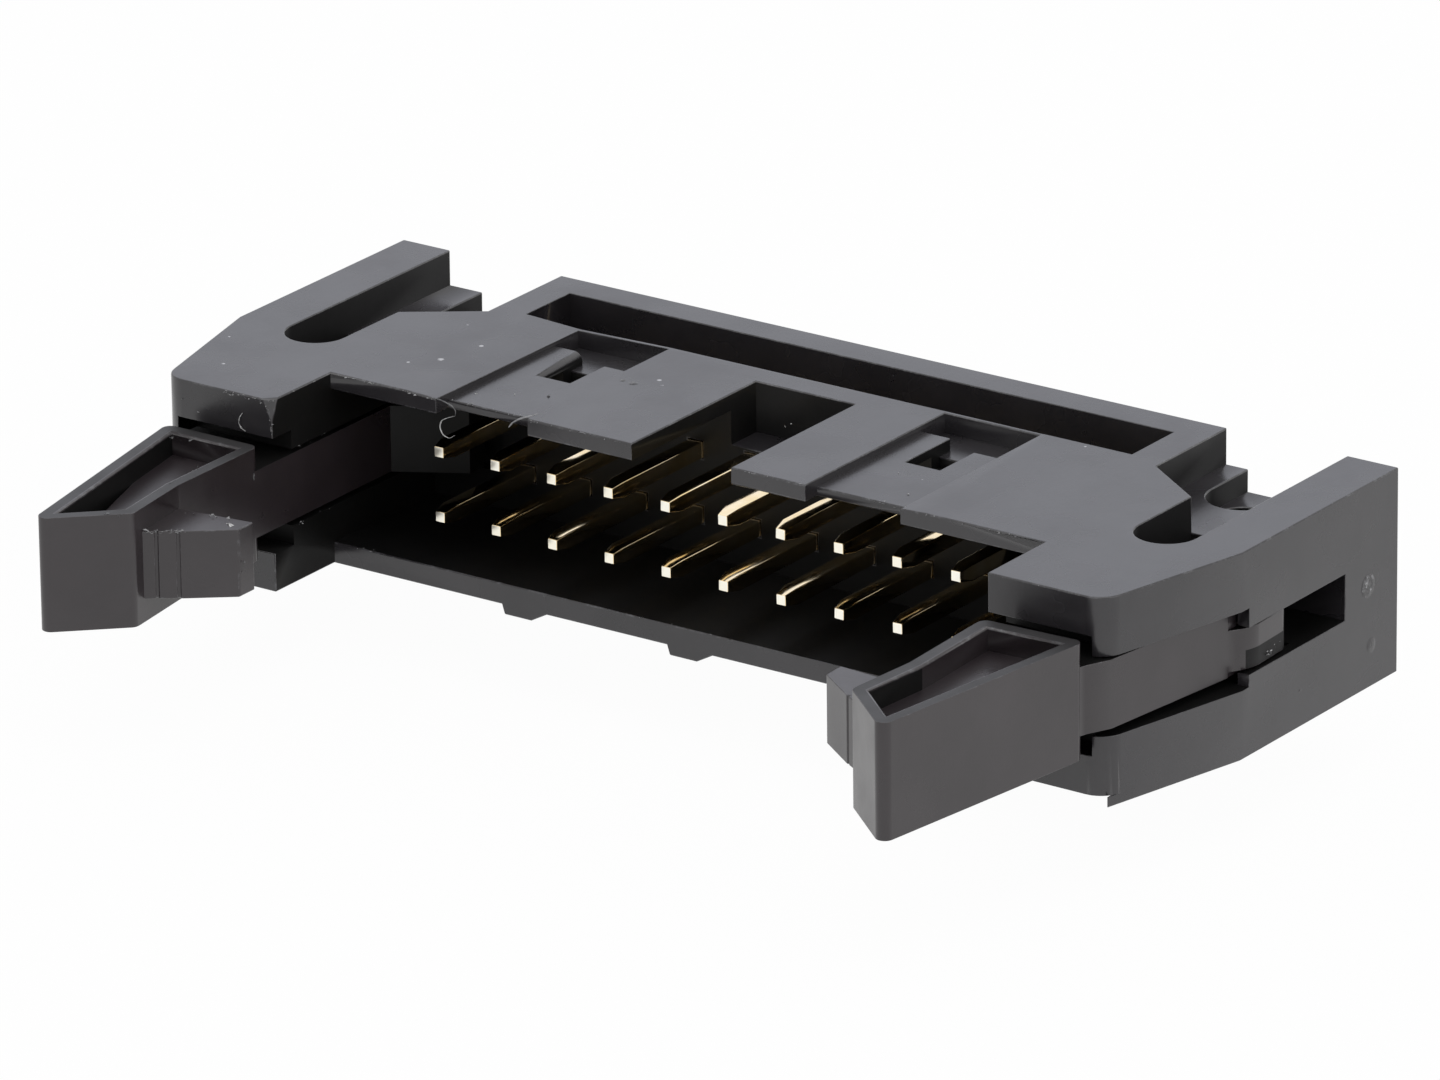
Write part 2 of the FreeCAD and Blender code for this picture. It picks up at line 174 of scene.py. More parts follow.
def noise(tree, place, scale, detail, roughness, stretch=None):
    # scale is in features per metre; stretch multiplies it along each axis
    if stretch:
        mapping = tree.nodes.new("ShaderNodeMapping")
        mapping.inputs["Scale"].default_value = stretch
        tree.links.new(place, mapping.inputs["Vector"])
        place = mapping.outputs["Vector"]
    node = tree.nodes.new("ShaderNodeTexNoise")
    node.inputs["Scale"].default_value = scale
    node.inputs["Detail"].default_value = detail
    node.inputs["Roughness"].default_value = roughness
    tree.links.new(place, node.inputs["Vector"])
    return node.outputs["Fac"]


def ramp(tree, source, places, colours):
    # from the first colour to the second between two places of the source
    node = tree.nodes.new("ShaderNodeValToRGB")
    for element, position, colour in zip(node.color_ramp.elements, places, colours):
        element.position = position
        element.color = (*colour, 1.0)
    tree.links.new(source, node.inputs["Fac"])
    return node.outputs["Color"]


def mapTo(tree, source, low, high, fromLow=0.0, fromHigh=1.0):
    node = tree.nodes.new("ShaderNodeMapRange")
    node.inputs["From Min"].default_value = fromLow
    node.inputs["From Max"].default_value = fromHigh
    node.inputs["To Min"].default_value = low
    node.inputs["To Max"].default_value = high
    tree.links.new(source, node.inputs["Value"])
    return node.outputs["Result"]


def join(tree, operation, a, b):
    node = tree.nodes.new("ShaderNodeMath")
    node.operation = operation
    for socket, value in ((node.inputs[0], a), (node.inputs[1], b)):
        if isinstance(value, (int, float)):
            socket.default_value = value
        else:
            tree.links.new(value, socket)
    return node.outputs[0]


def blendColour(tree, amount, below, colour):
    # lays a plain colour over what is below it, by an amount from 0 to 1
    node = tree.nodes.new("ShaderNodeMix")
    node.data_type = "RGBA"
    first, second = [s for s in node.inputs if s.type == "RGBA"]
    tree.links.new(amount, node.inputs["Factor"])
    tree.links.new(below, first)
    second.default_value = (*colour, 1.0)
    return [s for s in node.outputs if s.type == "RGBA"][0]


def bumpOf(tree, shader, layers):
    # layers of (height, strength, depth in metres), laid over each other
    below = None
    for height, strength, depth in layers:
        node = tree.nodes.new("ShaderNodeBump")
        node.inputs["Strength"].default_value = strength
        node.inputs["Distance"].default_value = depth
        tree.links.new(height, node.inputs["Height"])
        if below:
            tree.links.new(below, node.inputs["Normal"])
        below = node.outputs["Normal"]
    tree.links.new(below, shader.inputs["Normal"])


def near(tree, place, centre, radius, soft=0.3):
    # 1 within the radius of a place in millimetres, 0 beyond it
    node = tree.nodes.new("ShaderNodeVectorMath")
    node.operation = "DISTANCE"
    tree.links.new(place, node.inputs[0])
    node.inputs[1].default_value = tuple(c * mm for c in centre)
    return mapTo(tree, node.outputs["Value"], 1.0, 0.0, radius * (1 - soft) * mm, radius * mm)


def dots(tree, place, perMetre, size, share):
    # scattered round specks: a cell shows its middle where its own random number is above 1 - share
    node = tree.nodes.new("ShaderNodeTexVoronoi")
    node.inputs["Scale"].default_value = perMetre
    tree.links.new(place, node.inputs["Vector"])
    split = tree.nodes.new("ShaderNodeSeparateColor")
    tree.links.new(node.outputs["Color"], split.inputs["Color"])
    chosen = join(tree, "GREATER_THAN", split.outputs[0], 1 - share)
    middle = mapTo(tree, node.outputs["Distance"], 1.0, 0.0, size * 0.6, size)
    return join(tree, "MULTIPLY", middle, chosen)


# a noise is features per metre, detail, roughness and stretch; a bump is strength and depth in metres;
# a spot is a place and a radius in millimetres
plasticLook = {
    "housing": {"dark": (0.019, 0.0175, 0.02), "light": (0.032, 0.0295, 0.033),
                "gloss": (0.22, 0.32), "sheenLevel": 0.5},
    # inner is a darker, less glossy copy of the plastic, painted shade for recesses; shade is a lighter
    # painted shade for shaded walls
    "inner": {"dark": (0.004, 0.0039, 0.0039), "light": (0.0072, 0.007, 0.007),
              "gloss": (0.42, 0.52), "sheenLevel": 0.14},
    "shade": {"dark": (0.012, 0.0117, 0.012), "light": (0.02, 0.0195, 0.02),
              "gloss": (0.45, 0.55), "sheenLevel": 0.1},
    "latch": {"dark": (0.0185, 0.014, 0.016), "light": (0.03, 0.0235, 0.0265),
              "gloss": (0.26, 0.36), "sheenLevel": 0.5},
    "rim": {"dark": (0.016, 0.0155, 0.016), "light": (0.03, 0.0285, 0.03),
            "gloss": (0.4, 0.55), "sheenLevel": 0.3},
    "density": 1.62,  # index of refraction of the glass-filled plastic
    "middle": (0.3, 0.7),  # the range of a noise that shows
    "cloud": (260.0, 5.0, 0.6),
    "flow": (330.0, 3.0, 0.55), "flowBump": (0.5, 0.000012),
    "fibre": (2600.0, 3.0, 0.7, (1.0, 0.3, 1.0)), "fibreBump": (0.35, 0.000007),
    "grain": (8000.0, 2.0, 0.6), "grainBump": (0.6, 0.0000035),
    # wearAndHighlight is the pale colour of worn edges and of the painted highlight on every rounding; the
    # tears reuse it
    "wearAndHighlight": (0.1, 0.1, 0.107), "wear": (2100.0, 5.0, 0.75), "wearRange": (0.5, 0.66), "mostWear": 0.9,
    "speck": (0.5, 0.5, 0.52), "specks": (850.0, 0.05, 0.12),  # per metre, size, share
    "speckLevel": (7.3, 7.4),
    "torn": (4200.0, 4.0, 0.75), "tornBump": (1.0, 0.0001),
    "tears": [("wearAndHighlight", 0.49, 0.55), ("speck", 0.58, 0.64)],
    "ejectorMark": ((22.18, 1.32, 3.95), 0.46),
    "dustRange": (0.42, 0.5),
    "dust": [((-12.8, -4.54, top), 0.1), ((-13.19, -6.53, top), 0.14), ((-14.02, -7.42, top), 0.07),
             ((-17.62, -4.4, top), 0.06), ((-14.57, -2.98, top), 0.06), ((-19.6, -11.3, top), 0.08),
             ((-5.2, -3.9, top), 0.1), ((-4.8, -4.3, top), 0.07)],
    "pitSoft": 0.8,
    "pits": [((22.18, -3.16, 1.42), 0.09), ((22.18, 1.55, 1.6), 0.3),
             ((-5.8, -4.7, top), 0.2), ((-6.3, -4.66, top), 0.12)],
}


def markPlastic(tree, place, base):
    # dust on the level tops, the ring of an ejector pin and small pits on the flank. Gives the colour
    # and the height of the marks
    look = plasticLook
    split = tree.nodes.new("ShaderNodeSeparateXYZ")
    tree.links.new(place, split.inputs[0])
    high = mapTo(tree, split.outputs["Z"], 0.0, 1.0, *(level * mm for level in look["speckLevel"]))
    speck = dots(tree, place, *look["specks"])
    base = blendColour(tree, join(tree, "MULTIPLY", speck, high), base, look["speck"])
    torn = noise(tree, place, *look["torn"])
    ring = near(tree, place, *look["ejectorMark"])
    height = join(tree, "MULTIPLY", torn, ring)
    for spot, size in look["pits"]:
        pit = join(tree, "MULTIPLY", near(tree, place, spot, size, look["pitSoft"]), torn)
        height = join(tree, "ADD", height, pit)
    for spot, size in look["dust"]:
        flake = join(tree, "MULTIPLY", mapTo(tree, torn, 0.0, 1.0, *look["dustRange"]),
                     near(tree, place, spot, size))
        base = blendColour(tree, flake, base, look["speck"])
    for colour, start, end in look["tears"]:
        tear = join(tree, "MULTIPLY", mapTo(tree, torn, 0.0, look["mostWear"], start, end), ring)
        base = blendColour(tree, tear, base, look[colour])
    return base, height


def mouldedPlastic(name, key, edge=False, marked=False):
    # fine fibre grain over slow flow marks; the colour clouds between dark and light, edges wear pale, a
    # colour that is partly wear and partly a painted highlight
    look, own = plasticLook, plasticLook[key]
    material, tree, shader, place = nodeMaterial(name)
    cloud, flow, grain, fibre = (noise(tree, place, *look[k]) for k in ("cloud", "flow", "grain", "fibre"))
    base = ramp(tree, cloud, look["middle"], (own["dark"], own["light"]))
    layers = [(flow, *look["flowBump"]), (fibre, *look["fibreBump"]), (grain, *look["grainBump"])]
    if edge:
        # pale wear and painted highlight on the roundings, in a ragged pattern
        wear = mapTo(tree, noise(tree, place, *look["wear"]), 0.0, look["mostWear"], *look["wearRange"])
        base = blendColour(tree, wear, base, look["wearAndHighlight"])
    if marked:
        base, height = markPlastic(tree, place, base)
        layers.append((height, *look["tornBump"]))
    tree.links.new(base, shader.inputs["Base Color"])
    tree.links.new(mapTo(tree, flow, *own["gloss"], *look["middle"]), shader.inputs["Roughness"])
    shader.inputs["IOR"].default_value = look["density"]
    shader.inputs["Specular IOR Level"].default_value = own["sheenLevel"]
    bumpOf(tree, shader, layers)
    return material


goldLook = {
    "wire": ((0.9, 0.7, 0.38), (1.0, 0.88, 0.66)), "tip": ((1.0, 0.95, 0.8), (1.0, 0.98, 0.9)),
    "gloss": (0.06, 0.13), "glossRange": (0.3, 0.7), "tipGloss": 0.35,
    "cloud": (900.0, 3.0, 0.5), "cloudRange": (0.35, 0.75),
    "drawn": (7000.0, 2.0, 0.5, (1.0, 0.04, 1.0)), "drawnBump": (0.25, 0.000002),
}


def platedGold(name, tip=False):
    # drawn wire: fine lines along the pin, with slow changes of tone in the plating
    look = goldLook
    material, tree, shader, place = nodeMaterial(name)
    cloud, drawn = (noise(tree, place, *look[k]) for k in ("cloud", "drawn"))
    colour = ramp(tree, cloud, look["cloudRange"], look["tip" if tip else "wire"])
    tree.links.new(colour, shader.inputs["Base Color"])
    shader.inputs["Metallic"].default_value = 1.0
    if tip:
        shader.inputs["Roughness"].default_value = look["tipGloss"]
    else:
        tree.links.new(mapTo(tree, cloud, *look["gloss"], *look["glossRange"]), shader.inputs["Roughness"])
    bumpOf(tree, shader, [(drawn, *look["drawnBump"])])
    return material


rawLook = {
    "kinds": {  # colour and gloss
        "paleBurr": ((0.42, 0.42, 0.43), 0.6),
        "greyBurr": ((0.15, 0.15, 0.155), 0.5),
        "whiteCurl": ((0.8, 0.8, 0.8), 0.6),
        "dust": ((0.7, 0.7, 0.7), 0.8),
    },
    "dim": 0.4, "tone": (3800.0, 4.0, 0.7), "toneRange": (0.35, 0.6), "bump": (0.6, 0.00001),
}


def rawPlastic(name):
    # torn, stress-whitened plastic of burrs and flash
    colour, gloss = rawLook["kinds"][name]
    material, tree, shader, place = nodeMaterial(name)
    tone = noise(tree, place, *rawLook["tone"])
    dim = tuple(c * rawLook["dim"] for c in colour)
    tree.links.new(ramp(tree, tone, rawLook["toneRange"], (dim, colour)), shader.inputs["Base Color"])
    shader.inputs["Roughness"].default_value = gloss
    bumpOf(tree, shader, [(tone, *rawLook["bump"])])
    return material


housingPlastic = mouldedPlastic("housingPlastic", "housing", marked=True)
housingWearHighlight = mouldedPlastic("housingWearHighlight", "housing", edge=True)
paintedShadePlastic = mouldedPlastic("paintedShadePlastic", "inner")
shadePlastic = mouldedPlastic("shadePlastic", "shade")
latchPlastic = mouldedPlastic("latchPlastic", "latch")
latchWearHighlight = mouldedPlastic("latchWearHighlight", "latch", edge=True)
latchTop = mouldedPlastic("latchTop", "rim")
pinGold = platedGold("pinGold")
pinTip = platedGold("pinTip", tip=True)
raw = {name: rawPlastic(name) for name in rawLook["kinds"]}
print("materials ready")


def mergedCopy(node, name):
    # the node's triangles, welded and with flat neighbours joined into whole faces
    mesh = nodes[node].data.copy()
    mesh.name = name
    mesh.materials.clear()
    work = bmesh.new()
    work.from_mesh(mesh)
    bmesh.ops.remove_doubles(work, verts=work.verts, dist=weldWithin)
    bmesh.ops.dissolve_limit(work, angle_limit=math.radians(flatWithin), verts=work.verts, edges=work.edges)
    work.to_mesh(mesh)
    work.free()
    piece = bpy.data.objects.new(name, mesh)
    bpy.context.scene.collection.objects.link(piece)
    return piece


def readArray(items, key, width, kind=np.float64):
    values = np.empty(len(items) * width, kind)
    items.foreach_get(key, values)
    return values.reshape(-1, width) if width > 1 else values


def edgeFacts(mesh):
    # for every edge: the angle between its faces, whether it stands out (face one, walked inwards from
    # the edge, drops behind face two), the two faces, its middle in millimetres, its direction, the
    # shortest edge that meets it, and how far the narrower of its two faces reaches away from it
    ends = readArray(mesh.edges, "vertices", 2, np.int32)
    points = readArray(mesh.vertices, "co", 3) / mm
    normals = readArray(mesh.polygons, "normal", 3)
    area = readArray(mesh.polygons, "area", 1) / mm ** 2
    owner = np.repeat(np.arange(len(mesh.polygons)), readArray(mesh.polygons, "loop_total", 1, np.int32))
    edge = readArray(mesh.loops, "edge_index", 1, np.int32)
    first = readArray(mesh.loops, "vertex_index", 1, np.int32)
    along = points[ends[:, 1]] - points[ends[:, 0]]
    length = np.maximum(np.linalg.norm(along, axis=1), 1e-6)
    order = np.argsort(edge, kind="stable")
    pair = np.flatnonzero(edge[order][:-1] == edge[order][1:])
    which = edge[order[pair]]
    one, two = owner[order[pair]], owner[order[pair + 1]]
    angle, reach, standsOut = np.zeros(len(ends)), np.zeros(len(ends)), np.zeros(len(ends), bool)
    faces = np.zeros((len(ends), 2), np.int32)
    faces[which] = np.stack([one, two], -1)
    angle[which] = np.degrees(np.arccos(np.clip((normals[one] * normals[two]).sum(1), -1, 1)))
    reach[which] = np.minimum(area[one], area[two]) / length[which]
    heading = along[which] * np.where(first[order[pair]] == ends[which, 0], 1, -1)[:, None]
    standsOut[which] = (np.cross(normals[one], heading) * normals[two]).sum(1) < 0
    shortest = np.full(len(points), np.inf)
    for side in (0, 1):
        np.minimum.at(shortest, ends[:, side], length)
    nearby = np.minimum(shortest[ends[:, 0]], shortest[ends[:, 1]])
    middle = (points[ends[:, 0]] + points[ends[:, 1]]) / 2
    return angle, standsOut, faces, middle, along / length[:, None], nearby, reach


softLook = {
    "share": 0.4,  # the most that a rounding takes of the shortest edge near it
    "least": 0.004,
    "creaseAngle": 2.5, "creaseReach": 0.45,  # fainter or narrower than this is smoothed over
    "normalWeight": 50,
}


def soften(piece, widthOf, kindOf, steps, sharpAngle, materials):
    # kindOf gives each face's material. Every sharp edge that stands out is rounded by its own width,
    # in the second material, pale wear with a painted highlight, unless both its faces have the dark painted
    # shade; the others stay crisp
    mesh = piece.data
    angle, standsOut, faces, middle, along, nearby, reach = edgeFacts(mesh)
    kind = kindOf(readArray(mesh.polygons, "center", 3) / mm, readArray(mesh.polygons, "normal", 3))
    rounded = (angle > sharpAngle) & standsOut & (kind[faces] != dark).any(1)
    width = np.minimum(widthOf(middle, along), nearby * softLook["share"])
    width = np.where(rounded, np.maximum(width, softLook["least"]), 0.0)
    widest = width.max()
    weight = mesh.attributes.new("bevel_weight_edge", "FLOAT", "EDGE")
    weight.data.foreach_set("value", (width / widest).astype(np.float32))
    mesh.materials.clear()
    for material in materials:
        mesh.materials.append(material)
    mesh.shade_smooth()
    crisp = (angle > softLook["creaseAngle"]) & (angle <= sharpAngle) & (reach > softLook["creaseReach"])
    mesh.edges.foreach_set("use_edge_sharp", crisp | ((angle > sharpAngle) & ~rounded))
    mesh.polygons.foreach_set("material_index", kind.astype(np.int32))
    rounding = piece.modifiers.new("rounding", "BEVEL")
    rounding.width = widest * mm
    rounding.segments = steps
    rounding.limit_method = "WEIGHT"
    rounding.use_clamp_overlap = False
    rounding.miter_outer = "MITER_SHARP"
    # the roundings take the pale wear colour, which is partly a painted highlight
    rounding.material = worn
    shading = piece.modifiers.new("shading", "WEIGHTED_NORMAL")
    shading.mode = "FACE_AREA"
    shading.weight = softLook["normalWeight"]
    shading.keep_sharp = True
    split = piece.modifiers.new("split", "TRIANGULATE")  # no hollow-cornered faces in the finished mesh
    split.min_vertices = 5
    split.keep_custom_normals = True


def bevelPicked(piece, pick, width, steps):
    # a larger rounding of its own along the edges that pick chooses
    work = bmesh.new()
    work.from_mesh(piece.data)
    chosen = [e for e in work.edges if pick(*(v.co / mm for v in e.verts))]
    bmesh.ops.bevel(work, geom=chosen, offset=width * mm, segments=steps, profile=0.5,
                    affect="EDGES", clamp_overlap=True)
    work.to_mesh(piece.data)
    work.free()


# a box is its lowest and highest |x|, y and z
housingLook = {
    "edge": 0.055, "edgeSteps": 3, "sharpAngle": 32.0,
    "roundings": [  # width, where, and whether upright edges only; a later line wins
        (0.08, (anywhere, (roof - 0.05, roof + 0.05), (7.0, 99)), False),  # front edge of the roof
        (0.11, ((15.8, 99), (tower - 1.1, tower + 1.1), (7.8, 99)), False),  # the front of the towers' tops
        (0.02, (anywhere, (roof - 0.05, roof + 0.05), anywhere), True),
        (0.02, ((15.7, 99), (-99, -3.0), (2.4, 5.8)), False),  # slots and pocket
        (0.004, ((18.0, 99), (-99, -12.2), (-99, 0.6)), False),  # thin front end of the standoff strip
    ],
    "boxes": {
        "cavity": ((-99, 15.8), (-9.9, -3.1), (1.15, 7.25)),
        "pocket": ((12.5, 22.0), (-99, -3.0), (2.5, 5.7)),
        "towerSide": ((15.73, 15.77), (-99, -9.9), (5.7, 99)),
        "slotMouth": ((15.76, 20.7), (-13.4, -12.3), (1.8, 6.4)),
        "keyWall": ((-99, 2.2), (-2.08, -1.98), (5.8, 99)),
        "earWalls": ((14.6, 21.9), (-9.0, 3.2), (5.65, 7.8)),
        "wornCorner": ((-99, 16.6), (-99, -13.0), (7.2, 99)),
    },
    "ventMiddles": (-9.0, 7.4), "ventBox": ((-99, 0.8), (-5.35, -3.0), (6.5, 7.35)),  # x from the middle
    "screwHole": (17.15, 0.87, 1.3, 5.5),  # |x|, y, radius and top
    "outerWall": 20.0, "cornerStart": 19.8,  # |x|
    "ribEdge": ((-9.77, -9.73), (-5.4, -2.3), (7.54, 7.58)), "ribRound": 0.42, "ribRoundSteps": 6,
    "creaseDrop": 0.045,  # per millimetre from the crease
    "creases": [  # front x and y, back x and y, then the two walls of the panel that the facet ends at
        (-12.23, -9.92, -12.96, -2.55, -10.95, -6.83),
        (10.63, -10.2, 9.89, -1.1, 9.57, 5.45),
    ],
    "wellFront": -0.83,
    "worn": (-15.75, tower, top), "wornAcross": 0.36, "wornDown": 0.85,
}


def slantRoof(piece):
    # between each crease and the panel beside it the roof slopes down. The top is first divided at
    # the crease and the panel's walls, and then height = top - drop * distance from the crease
    slack = 0.001
    work = bmesh.new()
    work.from_mesh(piece.data)
    for x1, y1, x2, y2, wall, farWall in housingLook["creases"]:
        planes = [((x1, y1), (y2 - y1, x1 - x2)), ((wall, 0), (1, 0)), ((farWall, 0), (1, 0))]
        for (px, py), (nx, ny) in planes:
            flat = [f for f in work.faces if all(abs(v.co.z / mm - top) < slack for v in f.verts)]
            around = {e for f in flat for e in f.edges} | {v for f in flat for v in f.verts} | set(flat)
            bmesh.ops.bisect_plane(work, geom=list(around), dist=cutWithin,
                                   plane_co=(px * mm, py * mm, 0), plane_no=(nx, ny, 0))
    work.to_mesh(piece.data)
    work.free()
    points = readArray(piece.data.vertices, "co", 3) / mm
    inRoof = points[:, 1] < housingLook["wellFront"] + 0.01
    for x1, y1, x2, y2, wall, farWall in housingLook["creases"]:
        along = np.array([x2 - x1, y2 - y1]) / math.hypot(x2 - x1, y2 - y1)
        across = np.array([along[1], -along[0]]) * (1 if (wall - x1) * along[1] > 0 else -1)
        gone = (points[:, 0] - x1) * across[0] + (points[:, 1] - y1) * across[1]
        between = (gone > 1e-4) & ((wall - points[:, 0]) * across[0] > -0.01)
        lower = between & inRoof & (np.abs(points[:, 2] - top) < slack)
        points[lower, 2] -= gone[lower] * housingLook["creaseDrop"]
    piece.data.vertices.foreach_set("co", (points * mm).ravel())
    piece.data.update()


def housingWidths(middle, along):
    x, y, z = np.abs(middle[:, 0]), middle[:, 1], middle[:, 2]
    upright = np.abs(along[:, 2]) > 0.9
    width = np.full(len(middle), housingLook["edge"])
    for wide, box, uprightOnly in housingLook["roundings"]:
        width[within(x, y, z, box) & (upright | (not uprightOnly))] = wide
    return width


def housingKinds(centre, normal):
    # painted shade, in the dark material, in the cavity, the pockets, the slot mouths, the vents, the screw
    # holes and on the upper inner sides of the towers; lighter painted shade, in the shade material, on the
    # key slot's rear wall and the ears' upright walls
    x, y, z = np.abs(centre[:, 0]), centre[:, 1], centre[:, 2]
    look, shaded = housingLook, 3
    at = {name: within(x, y, z, box) for name, box in look["boxes"].items()}
    toVent = np.min([np.abs(centre[:, 0] - middle) for middle in look["ventMiddles"]], axis=0)
    vent = within(toVent, y, z, look["ventBox"])
    screwX, screwY, screwRadius, screwTop = look["screwHole"]
    screw = (np.hypot(x - screwX, y - screwY) < screwRadius) & (z < screwTop)
    level, faceOut = np.abs(normal[:, 2]), normal[:, 0] * np.sign(centre[:, 0])
    pocket = at["pocket"] & ((x < look["outerWall"]) | (level > 0.5))
    slotMouth = at["slotMouth"] & ((x < look["cornerStart"]) | (faceOut < 0.15))  # not the rounded corner
    inside = at["cavity"] | pocket | at["towerSide"] | vent | screw | slotMouth
    kind = np.where(inside, dark, outside)
    kind[at["keyWall"] | (at["earWalls"] & (level < 0.3))] = shaded
    kind[at["wornCorner"] & (np.abs(normal) > 0.3).all(1)] = worn
    return kind


def wearCorner(piece):
    # the left tower's inner front top corner is worn off in a slant that runs down the upright edge
    corner = Vector(housingLook["worn"])
    end = corner - Vector((0, 0, housingLook["wornAcross"]))
    work = bmesh.new()
    work.from_mesh(piece.data)
    picked = [v for v in work.verts if (v.co / mm - corner).length < 0.03]
    bmesh.ops.bevel(work, geom=picked, offset=housingLook["wornAcross"] * mm, segments=1, affect="VERTICES")
    for v in work.verts:
        if (v.co / mm - end).length < 0.03:
            v.co.z = (corner.z - housingLook["wornDown"]) * mm
    work.to_mesh(piece.data)
    work.free()


def isRibEdge(a, b):
    # the long upper edge of the left rib, beside the vent
    return within(*a, housingLook["ribEdge"]) and within(*b, housingLook["ribEdge"])


housing = mergedCopy("housing", "housingShell")
slantRoof(housing)
bevelPicked(housing, isRibEdge, housingLook["ribRound"], housingLook["ribRoundSteps"])
wearCorner(housing)
soften(housing, housingWidths, housingKinds, housingLook["edgeSteps"], housingLook["sharpAngle"],
       (housingPlastic, housingWearHighlight, paintedShadePlastic, shadePlastic))
settle(housing, "housing", ["housing"])
print("housing ready")


# places are in the latch's own drawing, about its pivot with the hook towards -X
latchLook = {
    "armEdge": 0.04, "headEdge": 0.11, "hookEdge": 0.07, "grooveEdge": 0.012,
    "edgeSteps": 3, "sharpAngle": 30.0,
    "pivot": (18.8, -6.63, 4.12), "rightLean": 2.4, "rightLift": 0.15,
    "rampOuter": (-4.52, -14.20), "rampInner": (-2.85, -15.33),
    "grooves": (0.08, 0.47, 0.88), "grooveWidth": 0.16, "grooveDepth": 0.1, "grooveReach": 2.0,
    "boxes": {  # lowest and highest x, y, and height above or below the middle
        "head": (anywhere, (-99, -7.4), (0.6, 99)),
        "hook": ((-99, -3.05), (-99, -11.9), (-99, 1.5)),
        "foot": ((-99, 0.5), (-2.0, 99), anywhere),
        "barrel": ((-99, 2.6), (-0.7, 99), anywhere),
        "lug": ((2.6, 99), (0.2, 99), anywhere),
    },
    "hollowFront": -7.6, "hollowLevels": ((1.45, 0.1), (0.7, 0.02)),  # y, then heights and their slack
    "rimFront": -7.5, "rimLevel": 2.0,
    # below lugSplit the lug's face gets painted shade
    "lugFace": 3.3, "lugEnd": 1.3, "lugRound": 0.55, "lugRoundSteps": 6, "lugSplit": -0.35,
}


def latchTurn(side):
    lean, lift = (latchLook["rightLean"], latchLook["rightLift"]) if side > 0 else (0.0, 0.0)
    return math.cos(math.radians(lean)), math.sin(math.radians(lean)), lift


def latchPoint(side, x, y, z=0.0):
    # from the latch's own drawing, about its pivot, to its place at rest
    c, s, lift = latchTurn(side)
    px, py, pz = latchLook["pivot"]
    x = side * np.asarray(x, float)
    y = np.asarray(y, float)
    across, along = x * c - y * s + side * px, x * s + y * c + py
    return np.stack(np.broadcast_arrays(across, along, np.asarray(z, float) + pz + lift), -1)


def latchOwn(side, points):
    # the way back, from its place to the latch's own drawing
    c, s, lift = latchTurn(side)
    px, py, pz = latchLook["pivot"]
    x, y, z = points[:, 0] - side * px, points[:, 1] - py, points[:, 2] - pz - lift
    return side * (x * c + y * s), -x * s + y * c, z


def rampLine():
    # start, direction and length of the hook's ramp
    start, end = np.array(latchLook["rampOuter"]), np.array(latchLook["rampInner"])
    length = np.linalg.norm(end - start)
    return start, (end - start) / length, length


def cutGrooves(piece, side):
    # upright V grooves across the hook's ramp
    start, along, length = rampLine()
    out = np.array([along[1], -along[0]])
    out = out if out[1] < 0 else -out
    wide, deep, reach = latchLook["grooveWidth"], latchLook["grooveDepth"], latchLook["grooveReach"]
    points, faces = [], []
    for i, share in enumerate(latchLook["grooves"]):
        centre = start + along * length * share
        corners = np.array([centre - along * wide + out * deep, centre - out * deep,
                            centre + along * wide + out * deep])
        for z in (-reach, reach):
            points.append(latchPoint(side, corners[:, 0], corners[:, 1], z))
        n = i * 6
        faces += [[n, n + 1, n + 2], [n + 5, n + 4, n + 3], [n, n + 3, n + 4, n + 1],
                  [n + 1, n + 4, n + 5, n + 2], [n + 2, n + 5, n + 3, n]]
    cutter = newMesh("grooveCutter", np.concatenate(points), faces, [])
    outwards(cutter)
    carve = piece.modifiers.new("grooves", "BOOLEAN")
    carve.operation = "DIFFERENCE"
    carve.solver = "EXACT"
    carve.object = cutter
    shape = piece.evaluated_get(bpy.context.evaluated_depsgraph_get())
    mesh = bpy.data.meshes.new_from_object(shape)
    piece.modifiers.clear()
    piece.data = mesh
    bpy.data.objects.remove(cutter)


def splitLug(piece, side):
    # a level cut through the lug's faces, below which they get painted shade
    work = bmesh.new()
    work.from_mesh(piece.data)
    middles = np.array([f.calc_center_median() for f in work.faces]) / mm
    inLug = within(*latchOwn(side, middles), latchLook["boxes"]["lug"])
    picked = [f for f, isIn in zip(list(work.faces), inLug) if isIn]
    around = {e for f in picked for e in f.edges} | {v for f in picked for v in f.verts} | set(picked)
    level = latchPoint(side, 0, 0, latchLook["lugSplit"])[2]
    bmesh.ops.bisect_plane(work, geom=list(around), dist=cutWithin, plane_co=(0, 0, level * mm),
                           plane_no=(0, 0, 1))
    bmesh.ops.remove_doubles(work, verts=work.verts, dist=weldWithin)
    work.to_mesh(piece.data)
    work.free()


